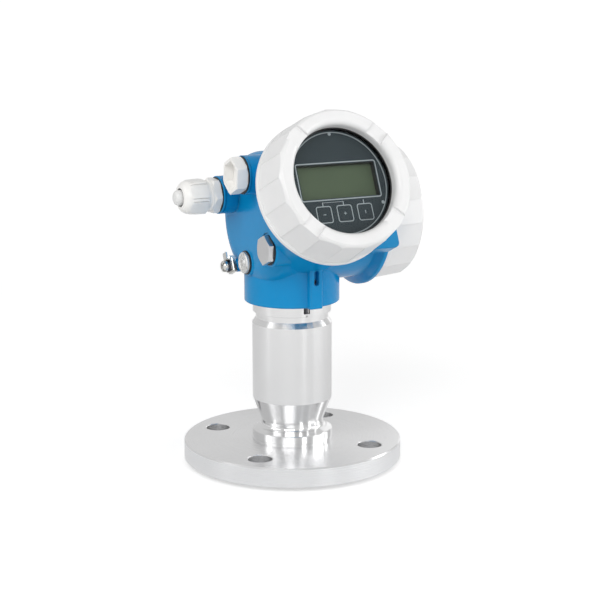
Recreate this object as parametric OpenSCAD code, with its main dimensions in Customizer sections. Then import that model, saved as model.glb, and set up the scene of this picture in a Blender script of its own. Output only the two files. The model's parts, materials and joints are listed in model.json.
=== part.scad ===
// Field radar level transmitter: a two-compartment aluminium head with a tilted display,
// carried on a turned steel neck and a drilled process flange with a flush antenna lens.
// Millimetres. Z runs up the neck from the sealing face, the display looks along -Y,
// the terminal cover faces +X and the cable entries face -X.

/* [Process flange] */
// Outside diameter of the flange
flange_d = 165; // [150:1:185]
// Thickness of the flange, raised face included
flange_t = 18; // [16:0.5:24]
// Diameter of the raised sealing face
face_d = 102; // [90:1:106]
// Height of the raised sealing face
face_h = 3; // [2:0.5:4]
// Diameter of the bolt circle
bolt_circle_d = 125; // [121:1:140]
// Diameter of one bolt hole
bolt_hole_d = 18; // [12:1:19]
// Number of bolt holes
bolt_count = 4; // [4:4:8]
// Angle of the first bolt hole from +X
bolt_start = 41; // [0:1:90]
// Chamfer on the rim's two edges
rim_chamfer = 1; // [0.5:0.5:2]
// Bore in which the neck's foot is welded
foot_bore_d = 50; // [46:1:56]

/* [Antenna] */
// Diameter of the flush lens disc
lens_d = 66; // [60:1:80]
// Depth of the lens disc
lens_t = 3; // [2:0.5:4]
// Mouth of the horn behind the lens
horn_d = 40; // [34:1:42]
// Length of the horn
horn_len = 34; // [28:1:40]
// Outside diameter of the waveguide tube
guide_d = 10; // [8:0.5:12]
// Wall of the waveguide tube
guide_wall = 1; // [0.6:0.2:1.4]

/* [Neck] */
// Diameter of the foot ring above the flange
foot_d = 60.6; // [56:0.2:66]
// Height of the foot ring
foot_h = 7.7; // [6:0.1:12]
// Diameter of the waist
waist_d = 46.8; // [44:0.2:50]
// Height of the hollow between the foot ring and the waist
hollow_h = 4.8; // [4:0.1:8]
// Height of the straight waist
waist_h = 2.2; // [1:0.1:6]
// Height of the taper from the waist to the barrel
taper_h = 17.3; // [12:0.1:24]
// Diameter of the neck's barrel
neck_d = 60; // [58:0.5:66]
// Length of the neck's barrel
neck_len = 58; // [40:1:120]
// Height of the bright shoulder above the barrel
shoulder_h = 3.9; // [3:0.1:7]
// Diameter above the shoulder
shoulder_d = 54.4; // [54:0.2:56]
// Diameter of the stop ring under the head
ring_d = 59; // [58:0.2:60]
// Height of the stop ring
ring_h = 7.4; // [6.5:0.1:9]
// Height of the narrow section under the stop ring
groove_h = 4.9; // [3:0.1:7]
// Free height between the stop ring and the head's collar
collar_gap = 0.5; // [0.3:0.1:1]
// Width of the notch in the stop ring that holds the stop pin
pin_notch_w = 4.8; // [4:0.1:6]
// Depth of the notch under the stop ring's top
pin_notch_h = 5.2; // [4:0.1:6]
// Diameter of the relief behind the stop pin
relief_d = 53.6; // [53:0.2:54]
// Diameter of the spigot that carries the head
spigot_d = 56.2; // [55.8:0.1:56.6]
// Bore of the neck's upper room
room_d = 47; // [44:0.5:48]

/* [Head] */
// Backward tilt of the display compartment's axis
display_tilt = 24.4; // [15:0.1:30]
// Height of the head's centre above the collar's lower edge
axis_rise = 63.3; // [61:0.1:72]
// Step from the covers' open edge in to the terminal barrel
body_step = 3.9; // [2.5:0.1:5]
// Wall of the round body
body_wall = 6.5; // [5:0.5:8]
// Distance from the head's centre to the flat side that carries the entries
side_reach = 37.5; // [36:0.5:42]
// Radius of the round edge of the flat side
side_edge_r = 16; // [10:0.5:18]
// Diameter of the collar round the neck
collar_d = 71.5; // [68:0.5:76]
// Distance from the head's centre to the display cover's seat
display_seat = 56.3; // [56:0.1:60]
// Distance from the head's centre to the terminal cover's seat
terminal_seat = 54.6; // [53:0.1:58]
// Step from the terminal cover's open edge out to the raised rim behind it
rim_step = 2.1; // [1:0.1:2.6]
// Width of the raised rim
rim_w = 4; // [3:0.5:5]
// Diameter over the cover threads
thread_d = 93.2; // [92:0.2:93.6]
// Length of each threaded neck
thread_len = 17.8; // [15:0.1:18]
// Wall of the threaded necks round both compartments
thread_wall = 5.6; // [4.6:0.1:6.6]
// Width of the lock rib on the collar
rib_w = 10.6; // [9:0.2:14]
// Height of the lock rib over the collar's surface
rib_h = 4.3; // [3:0.1:6]
// Diameter of the lock screw
lock_screw_d = 4; // [3:0.5:5]

/* [Cable entries] */
// Distance from the head's centre to the face of the entry bosses
entry_reach = 47; // [44:0.5:52]
// Diameter of the entry bosses
entry_boss_d = 28; // [27:0.5:30]
// Diameter of the entry bores
entry_bore_d = 18.5; // [16:0.5:20]
// Hexagon across flats on the gland and the blanking plug
gland_af = 24; // [22:0.5:25]
// Diameter of the conical gland mouth
gland_mouth_d = 13.6; // [12:0.2:14]
// Hexagon across flats on the lower steel plug
steel_plug_af = 19.4; // [17:0.2:21]
// Diameter of the vent cap
vent_d = 15.8; // [14:0.2:18]

/* [Covers] */
// Wall of the covers over their threads
cover_wall = 6.8; // [6:0.1:7.6]
// Step from the covers' open edge in to their front
nose_step = 2.7; // [1.5:0.1:4]
// Length of the display cover
display_cover_l = 37.5; // [37:0.1:42]
// Length of the blank terminal cover
terminal_cover_l = 30.3; // [28:0.1:36]
// Width of the smooth band at the open edge
cover_band = 4; // [3:0.5:8]
// Number of grip flats round each cover
grip_flats = 18; // [12:1:24]
// Number of wrench notches in the front rim
notch_count = 4; // [2:1:6]
// Width of one wrench notch
notch_w = 13.4; // [8:0.2:18]
// Depth of one wrench notch
notch_depth = 2.6; // [2:0.2:6]
// How far the front laps over the glass's edge
window_lap = 3.7; // [2.5:0.1:5]
// Thickness of the window glass
glass_t = 3; // [3:0.5:5]
// Step from the threads in to the edge of the glass
glass_step = 3.6; // [2.6:0.1:4.6]
// Thickness of the blank cover's roof
cover_roof = 4.3; // [3:0.1:6]

/* [Display] */
// Distance from the panel's edge to the side of the display window
lcd_side = 8.3; // [7.8:0.1:14]
// Distance between the display window and the keys
key_clear = 6.4; // [4:0.1:9]
// Height of the display window's centre above the axis
lcd_rise = 1.7; // [1:0.1:4]
// Depth of the display window's well under the panel's face
lcd_depth = 5; // [2:0.5:5.5]
// Width and height of one key
key_size = 10.2; // [9:0.2:12]
// Distance between key centres
key_pitch = 16.2; // [14:0.1:17]
// Distance from the panel's lower edge up to the key row's centre
key_rise = 16.7; // [15:0.1:18]

/* [Fits] */
// Gap between fixed pieces that fill a bore
seat_gap = 0.05; // [0.02:0.01:0.1]
// Radial gap of a running fit
run_gap = 0.1; // [0.05:0.01:0.1]
// Gap between free pieces on different bodies
free_gap = 0.3; // [0.25:0.05:0.5]

/* [Hidden] */
$fn = 96;
eps = 0.1;
thread_r = thread_d / 2;
cover_d = thread_d + 2 * cover_wall;
cover_nose_d = cover_d - 2 * nose_step;
body_d = cover_d - 2 * body_step;
rim_d = cover_d + 2 * rim_step;
glass_d = thread_d - 2 * glass_step;
window_d = glass_d - 2 * window_lap;

// Levels up the neck
foot_top = flange_t + foot_h;
waist_bottom = foot_top + hollow_h;
waist_top = waist_bottom + waist_h;
barrel_bottom = waist_top + taper_h;
barrel_top = barrel_bottom + neck_len;
shoulder_top = barrel_top + shoulder_h;
ring_bottom = shoulder_top + groove_h;
ring_top = ring_bottom + ring_h;
collar_z = ring_top + collar_gap;
head_z = collar_z + axis_rise;
horn_top = lens_t + horn_len;
guide_seat = horn_top + 23;
module_z = barrel_top - 10;
module_h = 24;
recess_h = 3.8;
pin_at = (relief_d + ring_d) / 4;
pin_r = (ring_d - relief_d) / 4;
pin_floor = ring_top - pin_notch_h;
pin_seat_h = 2.2;
pin_lift = 1.8;
spigot_bottom = collar_z + recess_h - 1.5;
spigot_top = collar_z + 24.3;
groove_floor_d = spigot_d - 3.6;
lock_z = spigot_top - 5;
seal_z = spigot_bottom + 4;
seal_section = 2;

// Radii of the head
body_r = body_d / 2;
cavity_r = body_r - body_wall;
display_barrel_r = body_r - 1.5;
shell_seat_r = cover_d / 2 - 3.9;
room_r = thread_r - thread_wall;
collar_bore_r = spigot_d / 2 + run_gap;
recess_r = ring_d / 2 + 0.5;
partition_t = 4.5;
side_wall = 4.5;
display_floor = cavity_r + partition_t;
lug_back = 24;
terminal_floor = 30;
display_mouth = display_seat + thread_len;
terminal_mouth = terminal_seat + thread_len;

// Covers, measured along their own axis from the open edge
cover_lift = 0.3;
cover_bore_r = thread_r + run_gap;
cover_thread_h = 19.4;
flat_r = 0.987;
seal_groove_z = 2.2;
seal_groove_w = 2.2;
seal_groove_r = cover_bore_r + 2.1;
cover_seal_section = 2;
gasket_t = 0.6;
gasket_bore_r = window_d / 2 - 0.8;
glass_top = display_cover_l - 8.9 - gasket_t;
retainer_bore_r = window_d / 2;
display_cover_z = display_seat + cover_lift;
terminal_cover_z = terminal_seat + cover_lift;

// Display stack, measured along the display axis from the head's centre
panel_top = display_cover_z + glass_top - glass_t - 0.7;
panel_t = 1;
panel_r = retainer_bore_r - 0.5;
lcd_w = 2 * (panel_r - lcd_side);
key_drop = panel_r - key_rise;
lcd_h = 2 * (lcd_rise + key_drop - key_size / 2 - key_clear);
board_top = panel_top - panel_t - 6;
board_t = 1.6;
carrier_floor_t = 4;
carrier_bottom = board_top - board_t - 4 - carrier_floor_t;
carrier_step = display_mouth - 0.8;
carrier_r = room_r - free_gap;
carrier_nose_r = panel_r;
key_hole = key_size + 0.4;
key_travel = 0.5;
key_proud = 0.15;
key_rim_h = 2;
switch_h = 1.6;

// Entries: [along the display axis, square to it], both from the head's centre
gland_at = [-15.5, 24.5];
blind_at = [29, 25.5];
steel_plug_at = [26.2, -30.6];
vent_at = [-12, -29.5];
ground_at = [-30.5, -26.6];
steel_boss_d = 25;
vent_boss_d = 20;
ground_boss_d = 10;
steel_plug_reach = 36.5;
vent_reach = side_reach + 0.4;
ground_reach = 40;
entry_seal_t = 1.6;
steel_seal_t = 1.5;
steel_plug_thread_d = 13;
vent_stem_d = 8;
ground_thread_d = 5;

// Places a child in the display compartment's frame: Z out of the window, X to the right
module on_display_axis() {
    translate([0, 0, head_z]) rotate([90 - display_tilt, 0, 0]) children();
}

// Places a child in the terminal compartment's frame: Z out of the cover
module on_terminal_axis() {
    translate([0, 0, head_z]) rotate([0, 90, 0]) children();
}

// Places a child on an entry: Z out of the boss, X along the display axis
module on_entry(at) {
    on_display_axis() translate([0, at[1], at[0]]) rotate([0, -90, 0]) children();
}

// Turns a profile of [radius, height] points round Z
module turned(points) {
    rotate_extrude() polygon(points);
}

// A tube by outer radius, inner radius, start and end
module tube(outer, inner, from, to) {
    difference() {
        translate([0, 0, from]) cylinder(r = outer, h = to - from);
        translate([0, 0, from - eps]) cylinder(r = inner, h = to - from + 2 * eps);
    }
}

// A ring of round section
module o_ring(middle_r, section) {
    rotate_extrude() translate([middle_r, 0]) circle(d = section, $fn = 32);
}

// A hexagonal prism with one corner along X
module hexagon(across_flats, height) {
    cylinder(d = across_flats / cos(30), h = height, $fn = 6);
}

// Trims a prism's end corners with a cone, like a turned bolt head
module corner_trim(across_flats, height, drop) {
    r = across_flats / cos(30) / 2;
    turned([[0, -1], [r + 1, -1], [r + 1, height - drop], [across_flats / 2 - 0.3, height],
            [0, height]]);
}

// Points of an arc in a profile, from angle a to angle b
function arc(centre, r, a, b, steps) =
    [for (i = [0 : steps]) let (t = a + (b - a) * i / steps) centre + r * [cos(t), sin(t)]];

module process_flange() {
    r = flange_d / 2;
    c = rim_chamfer;
    color("silver") difference() {
        turned([[0, 0], [face_d / 2 - 0.5, 0], [face_d / 2, 0.5], [face_d / 2, face_h],
                [r - c, face_h], [r, face_h + c], [r, flange_t - c], [r - c, flange_t],
                [0, flange_t]]);
        translate([0, 0, -eps]) cylinder(d = foot_bore_d, h = flange_t + 2 * eps);
        translate([0, 0, -eps]) cylinder(d = lens_d, h = lens_t + eps);
        for (i = [0 : bolt_count - 1])
            rotate([0, 0, bolt_start + i * 360 / bolt_count])
                translate([bolt_circle_d / 2, 0, 0]) {
                    translate([0, 0, -eps]) cylinder(d = bolt_hole_d, h = flange_t + 2 * eps);
                    translate([0, 0, flange_t - 0.6])
                        cylinder(d1 = bolt_hole_d, d2 = bolt_hole_d + 2, h = 1);
                }
    }
}

module antenna_lens() {
    color("white") turned([[0, 0], [lens_d / 2 - seat_gap, 0], [lens_d / 2 - seat_gap, lens_t],
                           [horn_d / 2 - 0.3, lens_t], [guide_d / 4, horn_top - 3],
                           [0, horn_top - 2]]);
}

// Outside of the neck, from the welded foot to the top of the spigot
function neck_outline() = let (foot_r = foot_d / 2, waist_r = waist_d / 2, hollow_r = 3)
    concat([[foot_bore_d / 2 - seat_gap, lens_t], [foot_bore_d / 2 - seat_gap, flange_t],
            [foot_r - 0.7, flange_t], [foot_r - 0.7, flange_t + 1.3], [foot_r, flange_t + 1.8],
            [foot_r, foot_top - 0.5], [foot_r - 0.5, foot_top],
            [waist_r + hollow_r, waist_bottom - hollow_r]],
           arc([waist_r + hollow_r, waist_bottom], hollow_r, -90, -180, 5),
           [[waist_r, waist_top], [neck_d / 2, barrel_bottom], [neck_d / 2, barrel_top],
            [shoulder_d / 2, shoulder_top], [shoulder_d / 2, ring_bottom - 0.8],
            [ring_d / 2, ring_bottom], [ring_d / 2, ring_top - 0.3], [ring_d / 2 - 0.3, ring_top],
            [relief_d / 2, ring_top], [relief_d / 2, spigot_bottom],
            [spigot_d / 2, spigot_bottom], [spigot_d / 2, seal_z - 1.4],
            [spigot_d / 2 - 2.2, seal_z - 1.4], [spigot_d / 2 - 2.2, seal_z + 1.4],
            [spigot_d / 2, seal_z + 1.4], [spigot_d / 2, lock_z - 2.7],
            [groove_floor_d / 2, lock_z - 2.7], [groove_floor_d / 2, lock_z + 2.7],
            [spigot_d / 2, lock_z + 2.7], [spigot_d / 2, spigot_top - 0.5],
            [spigot_d / 2 - 0.5, spigot_top]]);

module neck() {
    color("gainsboro") difference() {
        turned(concat(neck_outline(),
                      [[room_d / 2, spigot_top], [room_d / 2, module_z],
                       [room_d / 2 - 5.5, module_z], [room_d / 2 - 5.5, guide_seat],
                       [guide_d / 2, guide_seat], [guide_d / 2, horn_top],
                       [horn_d / 2, lens_t]]));
        rotate([0, 0, -95]) {
            translate([relief_d / 2 - 0.4, -pin_notch_w / 2, pin_floor])
                cube([8, pin_notch_w, pin_notch_h + 1]);
            translate([pin_at, 0, pin_floor - pin_seat_h])
                cylinder(r = pin_r, h = pin_seat_h + 1);
        }
    }
}

module waveguide() {
    color("goldenrod") tube(guide_d / 2 - seat_gap, guide_d / 2 - guide_wall, horn_top, module_z);
}

module radar_module() {
    r = room_d / 2 - 0.2;
    color("dimgray") turned([[0, module_z], [r, module_z], [r, module_z + module_h - 1],
                             [r - 1, module_z + module_h], [8, module_z + module_h],
                             [8, module_z + module_h + 6], [0, module_z + module_h + 6]]);
}

module neck_seal() {
    color("black") translate([0, 0, seal_z]) o_ring(spigot_d / 2 - 1.15, seal_section);
}

module stop_pin() {
    color("black") rotate([0, 0, -95]) translate([pin_at, 0, pin_floor - pin_seat_h])
        cylinder(r = pin_r - seat_gap, h = collar_z + pin_lift - pin_floor + pin_seat_h);
}

// The casting's outside round the display axis, cut flush with the flat side up to its seat
module display_barrel() {
    difference() {
        turned([[0, 0], [display_barrel_r, 0], [shell_seat_r - 0.8, display_seat - 1.2],
                [shell_seat_r - 0.8, display_seat], [thread_r, display_seat],
                [thread_r, display_mouth - 1], [thread_r - 1, display_mouth],
                [0, display_mouth]]);
        rotate([90, 0, 0]) translate([0, 0, -body_d]) linear_extrude(2 * body_d)
            polygon([[-body_d, -10], [-side_reach, -10], [-side_reach, display_floor - 8],
                     [-body_r, display_floor], [-body_d, display_floor]]);
    }
}

// The room inside the casting's middle, ending behind the flat side
module middle_room() {
    translate([0, 0, head_z]) difference() {
        sphere(r = cavity_r);
        translate([-side_reach + side_wall - body_d, -body_d, -body_d])
            cube([body_d, 2 * body_d, 2 * body_d]);
    }
}

// The casting's outside round the terminal axis, with its flat, round-edged end
module terminal_barrel() {
    rim_back = terminal_seat - rim_w;
    rotate_extrude() union() {
        translate([body_r - side_edge_r, side_edge_r - side_reach]) intersection() {
            circle(r = side_edge_r);
            translate([-eps, -side_edge_r]) square([side_edge_r + eps, side_edge_r + eps]);
        }
        polygon([[0, -side_reach], [body_r - side_edge_r, -side_reach],
                 [body_r - side_edge_r, side_edge_r - side_reach],
                 [body_r, side_edge_r - side_reach], [body_r, rim_back - 3.9],
                 [rim_d / 2 - 0.6, rim_back],
                 [rim_d / 2, rim_back + 0.8], [rim_d / 2, terminal_seat - 0.6],
                 [rim_d / 2 - 0.6, terminal_seat], [thread_r, terminal_seat],
                 [thread_r, terminal_mouth - 1], [thread_r - 1, terminal_mouth],
                 [0, terminal_mouth]]);
    }
}

// A round boss on the entry side, with a small chamfer at its mouth
module entry_boss(at, boss_d, reach) {
    on_entry(at) turned([[0, 12], [boss_d / 2, 12], [boss_d / 2, reach - 0.8],
                         [boss_d / 2 - 0.8, reach], [0, reach]]);
}

// Room in front of a boss where the casting's round side would stand over it
module spot_face(at, boss_d, reach) {
    on_entry(at) translate([0, 0, reach]) cylinder(d = boss_d, h = 16);
}

// Lug at the lower right of the display seat, in the display compartment's frame
module cover_lug() {
    lug_end = terminal_seat - 1;
    lug_low = cover_d / 2 - 9.6;
    corner = 4;
    difference() {
        translate([0, 0, display_seat - 14]) linear_extrude(12.4) union() {
            translate([lug_back, corner - lug_low]) square([lug_end - lug_back, 24]);
            translate([lug_back, -lug_low]) square([lug_end - corner - lug_back, 20]);
            translate([lug_end - corner, corner - lug_low]) circle(r = corner);
        }
        translate([lug_back - 4, -lug_low, display_seat - 1.6 - 3]) rotate([45, 0, 0])
            translate([0, -10, 0]) cube([lug_end, 10, 12]);
    }
}

// Vertical rib on the front of the collar
module lock_rib() {
    reach = collar_d / 2 + rib_h;
    translate([0, 0, collar_z]) linear_extrude(axis_rise - 34)
        polygon([[-rib_w / 2, -collar_d / 3], [-rib_w / 2, 1 - reach], [1 - rib_w / 2, -reach],
                 [rib_w / 2 - 1, -reach], [rib_w / 2, 1 - reach], [rib_w / 2, -collar_d / 3]]);
}

// Annular recess that clears the stop pin, broken by the stop dog
module stop_recess() {
    difference() {
        translate([0, 0, collar_z - eps]) cylinder(r = recess_r, h = recess_h + eps);
        rotate([0, 0, 85]) translate([spigot_d / 2 + 0.25, -3, collar_z - 1])
            cube([8, 6, recess_h + 2]);
    }
}

module housing() {
    pocket_w = lock_screw_d - 0.2;
    reach = collar_d / 2 + rib_h;
    color("steelblue") difference() {
        union() {
            on_terminal_axis() terminal_barrel();
            on_display_axis() display_barrel();
            translate([0, 0, collar_z]) turned([[0, 0], [collar_d / 2 - 0.6, 0],
                [collar_d / 2, 0.6], [collar_d / 2, axis_rise - 20], [0, axis_rise - 20]]);
            lock_rib();
            entry_boss(gland_at, entry_boss_d, entry_reach);
            entry_boss(blind_at, entry_boss_d, entry_reach);
            entry_boss(steel_plug_at, steel_boss_d, steel_plug_reach);
            entry_boss(vent_at, vent_boss_d, vent_reach);
            entry_boss(ground_at, ground_boss_d, ground_reach);
            on_display_axis() cover_lug();
        }
        middle_room();
        on_terminal_axis() translate([0, 0, terminal_floor])
            cylinder(r = room_r, h = terminal_mouth - terminal_floor + eps);
        on_display_axis() translate([0, 0, display_floor])
            cylinder(r = room_r, h = display_mouth - display_floor + eps);
        on_display_axis() translate([0, -12, cavity_r / 2]) cylinder(r = 5, h = cavity_r);
        on_terminal_axis() for (at = carrier_screw_at)
            translate([at[0], at[1], terminal_floor - carrier_screw_depth])
                cylinder(d = carrier_screw_d, h = carrier_screw_depth + 1);
        translate([0, 0, collar_z - eps])
            cylinder(r = collar_bore_r, h = spigot_top - collar_z + seat_gap + eps);
        translate([0, 0, collar_z]) cylinder(d = room_d - 3, h = axis_rise - 20);
        stop_recess();
        spot_face(gland_at, entry_boss_d, entry_reach);
        spot_face(blind_at, entry_boss_d, entry_reach);
        spot_face(steel_plug_at, steel_boss_d, steel_plug_reach);
        spot_face(vent_at, vent_boss_d, vent_reach);
        for (at = [gland_at, blind_at])
            on_entry(at) translate([0, 0, 18]) cylinder(d = entry_bore_d, h = entry_reach);
        on_entry(steel_plug_at) translate([0, 0, 18])
            cylinder(d = steel_plug_thread_d, h = steel_plug_reach);
        on_entry(vent_at) translate([0, 0, 20]) cylinder(d = vent_stem_d, h = vent_reach);
        on_entry(ground_at) translate([0, 0, ground_reach - 9])
            cylinder(d = ground_thread_d, h = 10);
        translate([0, 0, lock_z]) rotate([90, 0, 0]) {
            cylinder(d = lock_screw_d, h = reach + 1);
            for (lift = [0, 7]) translate([0, lift, reach - 4.6])
                cylinder(d = pocket_w + 0.3, h = 6);
            translate([-pocket_w / 2, 0, reach - 4.6]) cube([pocket_w, 7, 6]);
        }
    }
}

module lock_screw() {
    screw_top = collar_d / 2 + rib_h - 4.6;
    tip = groove_floor_d / 2 + 0.6;
    color("black") translate([0, 0, lock_z]) rotate([90, 0, 0]) difference() {
        turned([[0, tip], [lock_screw_d / 2 - 1, tip], [lock_screw_d / 2 - seat_gap, tip + 1],
                [lock_screw_d / 2 - seat_gap, screw_top], [0, screw_top]]);
        translate([0, 0, screw_top - 2]) hexagon(2, 3);
    }
}

// Outside of a cover: smooth band, flat-sided grip, rounded nose
module cover_blank(length) {
    band_r = cover_d / 2;
    grip_r = band_r - 0.6;
    nose_r = cover_nose_d / 2;
    grip_len = length - cover_band;
    lean = atan((grip_r - nose_r - 0.2) / (grip_len - 3));
    difference() {
        turned([[0, 0], [band_r - 0.5, 0], [band_r, 0.5], [band_r, cover_band - 0.6],
                [grip_r, cover_band], [nose_r + 0.2, length - 3], [nose_r - 1, length - 1],
                [nose_r - 2.2, length], [0, length]]);
        for (i = [0 : grip_flats - 1])
            rotate([0, 0, 5 + i * 360 / grip_flats])
                translate([grip_r * flat_r, -12, cover_band]) rotate([0, -lean, 0])
                    translate([0, 0, 0.6]) cube([8, 24, length]);
    }
}

// Notches for a pin wrench across the front rim
module rim_notches(length) {
    for (i = [0 : notch_count - 1])
        rotate([0, 0, 45 + i * 360 / notch_count])
            translate([window_d / 2 - 6, -notch_w / 2, length - notch_depth])
                cube([cover_d / 2, notch_w, notch_depth + 1]);
}

// Threaded bore and seal groove that both covers share
module cover_bore() {
    translate([0, 0, -eps]) cylinder(r = cover_bore_r, h = cover_thread_h + eps);
    translate([0, 0, seal_groove_z]) cylinder(r = seal_groove_r, h = seal_groove_w);
}

module display_cover() {
    round_r = 4.5;
    color("white") on_display_axis() translate([0, 0, display_cover_z]) difference() {
        cover_blank(display_cover_l);
        rim_notches(display_cover_l);
        cover_bore();
        cylinder(d = glass_d + 2 * seat_gap, h = glass_top + gasket_t);
        cylinder(d = window_d, h = display_cover_l + 1);
        translate([0, 0, display_cover_l - round_r]) difference() {
            cylinder(r = window_d / 2 + round_r, h = round_r + 1);
            rotate_extrude() translate([window_d / 2 + round_r, 0]) circle(r = round_r);
        }
    }
}

module window_gasket() {
    color("black") on_display_axis() translate([0, 0, display_cover_z])
        tube(glass_d / 2, gasket_bore_r, glass_top, glass_top + gasket_t);
}

module window_glass() {
    color("lightcyan", 0.3) on_display_axis()
        translate([0, 0, display_cover_z + glass_top - glass_t])
            cylinder(d = glass_d, h = glass_t);
}

module window_retainer() {
    color("black") on_display_axis() translate([0, 0, display_cover_z])
        tube(glass_d / 2, retainer_bore_r, glass_top - glass_t - 3.8, glass_top - glass_t);
}

module cover_seal() {
    translate([0, 0, seal_groove_z + seal_groove_w / 2])
        o_ring(seal_groove_r - cover_seal_section / 2 - run_gap / 2, cover_seal_section);
}

module display_cover_seal() {
    color("black") on_display_axis() translate([0, 0, display_cover_z]) cover_seal();
}

module terminal_cover() {
    color("white") on_terminal_axis() translate([0, 0, terminal_cover_z]) difference() {
        cover_blank(terminal_cover_l);
        cover_bore();
        cylinder(d = glass_d, h = terminal_cover_l - cover_roof);
    }
}

module terminal_cover_seal() {
    color("black") on_terminal_axis() translate([0, 0, terminal_cover_z]) cover_seal();
}

module electronics_module() {
    top = carrier_bottom;
    r = carrier_r;
    color("darkslategray") on_display_axis() difference() {
        turned([[0, display_floor], [r - 1, display_floor], [r, display_floor + 1], [r, top],
                [0, top]]);
        translate([0, -12, display_floor - 1]) cylinder(r = 4, h = 6);
    }
}

module display_carrier() {
    color("black") on_display_axis() turned([[0, carrier_bottom], [carrier_r, carrier_bottom],
        [carrier_r, carrier_step - 1], [carrier_nose_r, carrier_step],
        [carrier_nose_r, panel_top - panel_t], [carrier_nose_r - 1, panel_top - panel_t],
        [carrier_nose_r - 1, board_top - board_t], [carrier_nose_r - 3, board_top - board_t],
        [carrier_nose_r - 3, carrier_bottom + carrier_floor_t],
        [0, carrier_bottom + carrier_floor_t]]);
}

module display_board() {
    color("darkgreen") on_display_axis() translate([0, 0, board_top - board_t])
        cylinder(r = carrier_nose_r - 1 - seat_gap, h = board_t);
}

module lcd_module() {
    color("darkolivegreen") on_display_axis()
        translate([-lcd_w / 2 - 1, lcd_rise - lcd_h / 2 - 1, board_top])
            cube([lcd_w + 2, lcd_h + 2, panel_top - lcd_depth - board_top]);
}

// Black well between the panel and the display's glass
module lcd_frame() {
    color("black") on_display_axis() difference() {
        translate([-lcd_w / 2 - 2, lcd_rise - lcd_h / 2 - 2, panel_top - lcd_depth])
            cube([lcd_w + 4, lcd_h + 4, lcd_depth - panel_t]);
        translate([-lcd_w / 2, lcd_rise - lcd_h / 2, panel_top - lcd_depth - 1])
            cube([lcd_w, lcd_h, lcd_depth + 2]);
    }
}

// A square with rounded corners, centred
module rounded_square(size, corner) {
    s = size / 2 - corner;
    union() {
        square([size, 2 * s], center = true);
        square([2 * s, size], center = true);
        for (x = [-s, s], y = [-s, s]) translate([x, y]) circle(r = corner, $fn = 24);
    }
}

module display_panel() {
    color("darkslategray") on_display_axis() translate([0, 0, panel_top - panel_t])
        difference() {
            cylinder(r = panel_r, h = panel_t);
            translate([-lcd_w / 2, lcd_rise - lcd_h / 2, -1]) cube([lcd_w, lcd_h, panel_t + 2]);
            for (i = [-1 : 1]) translate([i * key_pitch, -key_drop, -1])
                linear_extrude(panel_t + 2) rounded_square(key_hole, 1.75);
        }
}

// One key cap with a flange under the panel
module key_cap(i) {
    color("slategray") on_display_axis() translate([i * key_pitch, -key_drop, 0]) union() {
        translate([0, 0, panel_top - panel_t - 1]) linear_extrude(panel_t + 1 + key_proud)
            rounded_square(key_size, 1.5);
        translate([0, 0, panel_top - panel_t - key_rim_h - seat_gap]) linear_extrude(key_rim_h)
            rounded_square(key_size + 2, 1.5);
        translate([0, 0, board_top + switch_h + key_travel + 0.1])
            cylinder(r = 2, h = panel_top - panel_t - 1 - board_top - switch_h - key_travel);
    }
}

module minus_key() { key_cap(-1); }
module plus_key() { key_cap(0); }
module enter_key() { key_cap(1); }

module key_switches() {
    color("gray") on_display_axis() for (i = [-1 : 1])
        translate([i * key_pitch, -key_drop, board_top]) cylinder(r = 2.4, h = switch_h);
}

carrier_t = 3;
carrier_screw_at = [[0, room_r - 4.5], [0, 4.5 - room_r]];
carrier_screw_d = 3;
carrier_screw_depth = 5;

module terminal_carrier() {
    color("dimgray") on_terminal_axis() difference() {
        translate([0, 0, terminal_floor]) cylinder(r = room_r - 0.2, h = carrier_t);
        translate([-room_r - 1, -14, terminal_floor - 1]) cube([18, 28, carrier_t + 2]);
        for (at = carrier_screw_at) translate([at[0], at[1], terminal_floor - 1])
            cylinder(d = carrier_screw_d + 0.4, h = carrier_t + 2);
    }
}

module carrier_screws() {
    color("silver") on_terminal_axis() for (at = carrier_screw_at)
        translate([at[0], at[1], terminal_floor]) difference() {
            turned([[0, 0.3 - carrier_screw_depth],
                    [carrier_screw_d / 2 - seat_gap, 0.3 - carrier_screw_depth],
                    [carrier_screw_d / 2 - seat_gap, carrier_t], [3, carrier_t],
                    [3, carrier_t + 1.6], [2.3, carrier_t + 2.2], [0, carrier_t + 2.2]]);
            translate([-4, -0.4, carrier_t + 1.2]) cube([8, 0.8, 2]);
        }
}

block_l = 48;
block_w = 22;
block_h = 13;
terminal_count = 4;

// Terminal block with one open wire chamber under each screw
module terminal_block() {
    pitch = block_l / terminal_count;
    color("gainsboro") on_terminal_axis()
        translate([0, 0, terminal_floor + carrier_t]) difference() {
            translate([-block_w / 2, -block_l / 2, 0]) cube([block_w, block_l, block_h]);
            for (i = [0 : terminal_count - 1])
                translate([0, (i + 0.5) * pitch - block_l / 2, 0]) {
                    translate([-4, 0, block_h - 3.4]) cylinder(r = 3.9, h = 4);
                    translate([-4, 0, block_h - 9]) cylinder(r = 2, h = 9);
                    translate([-6.6, 0, 4.6]) rotate([0, 90, 0]) cylinder(r = 2.4, h = block_w);
                }
        }
}

module terminal_screws() {
    pitch = block_l / terminal_count;
    z = terminal_floor + carrier_t + block_h;
    color("silver") on_terminal_axis() for (i = [0 : terminal_count - 1])
        translate([-4, (i + 0.5) * pitch - block_l / 2, z]) difference() {
            turned([[0, -8.5], [1.9, -8.5], [1.9, -3.4], [3.6, -3.4], [3.6, -1.2], [0, -1.2]]);
            translate([-4, -0.4, -2.1]) cube([8, 0.8, 2]);
        }
}

// Flat sealing ring under a hexagon
module flat_seal(outer_r, inner_r, reach, thickness) {
    tube(outer_r, inner_r, reach, reach + thickness);
}

module blind_plug_seal() {
    color("black") on_entry(blind_at)
        flat_seal(entry_boss_d / 2 - 0.5, entry_bore_d / 2, entry_reach, entry_seal_t);
}

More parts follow.
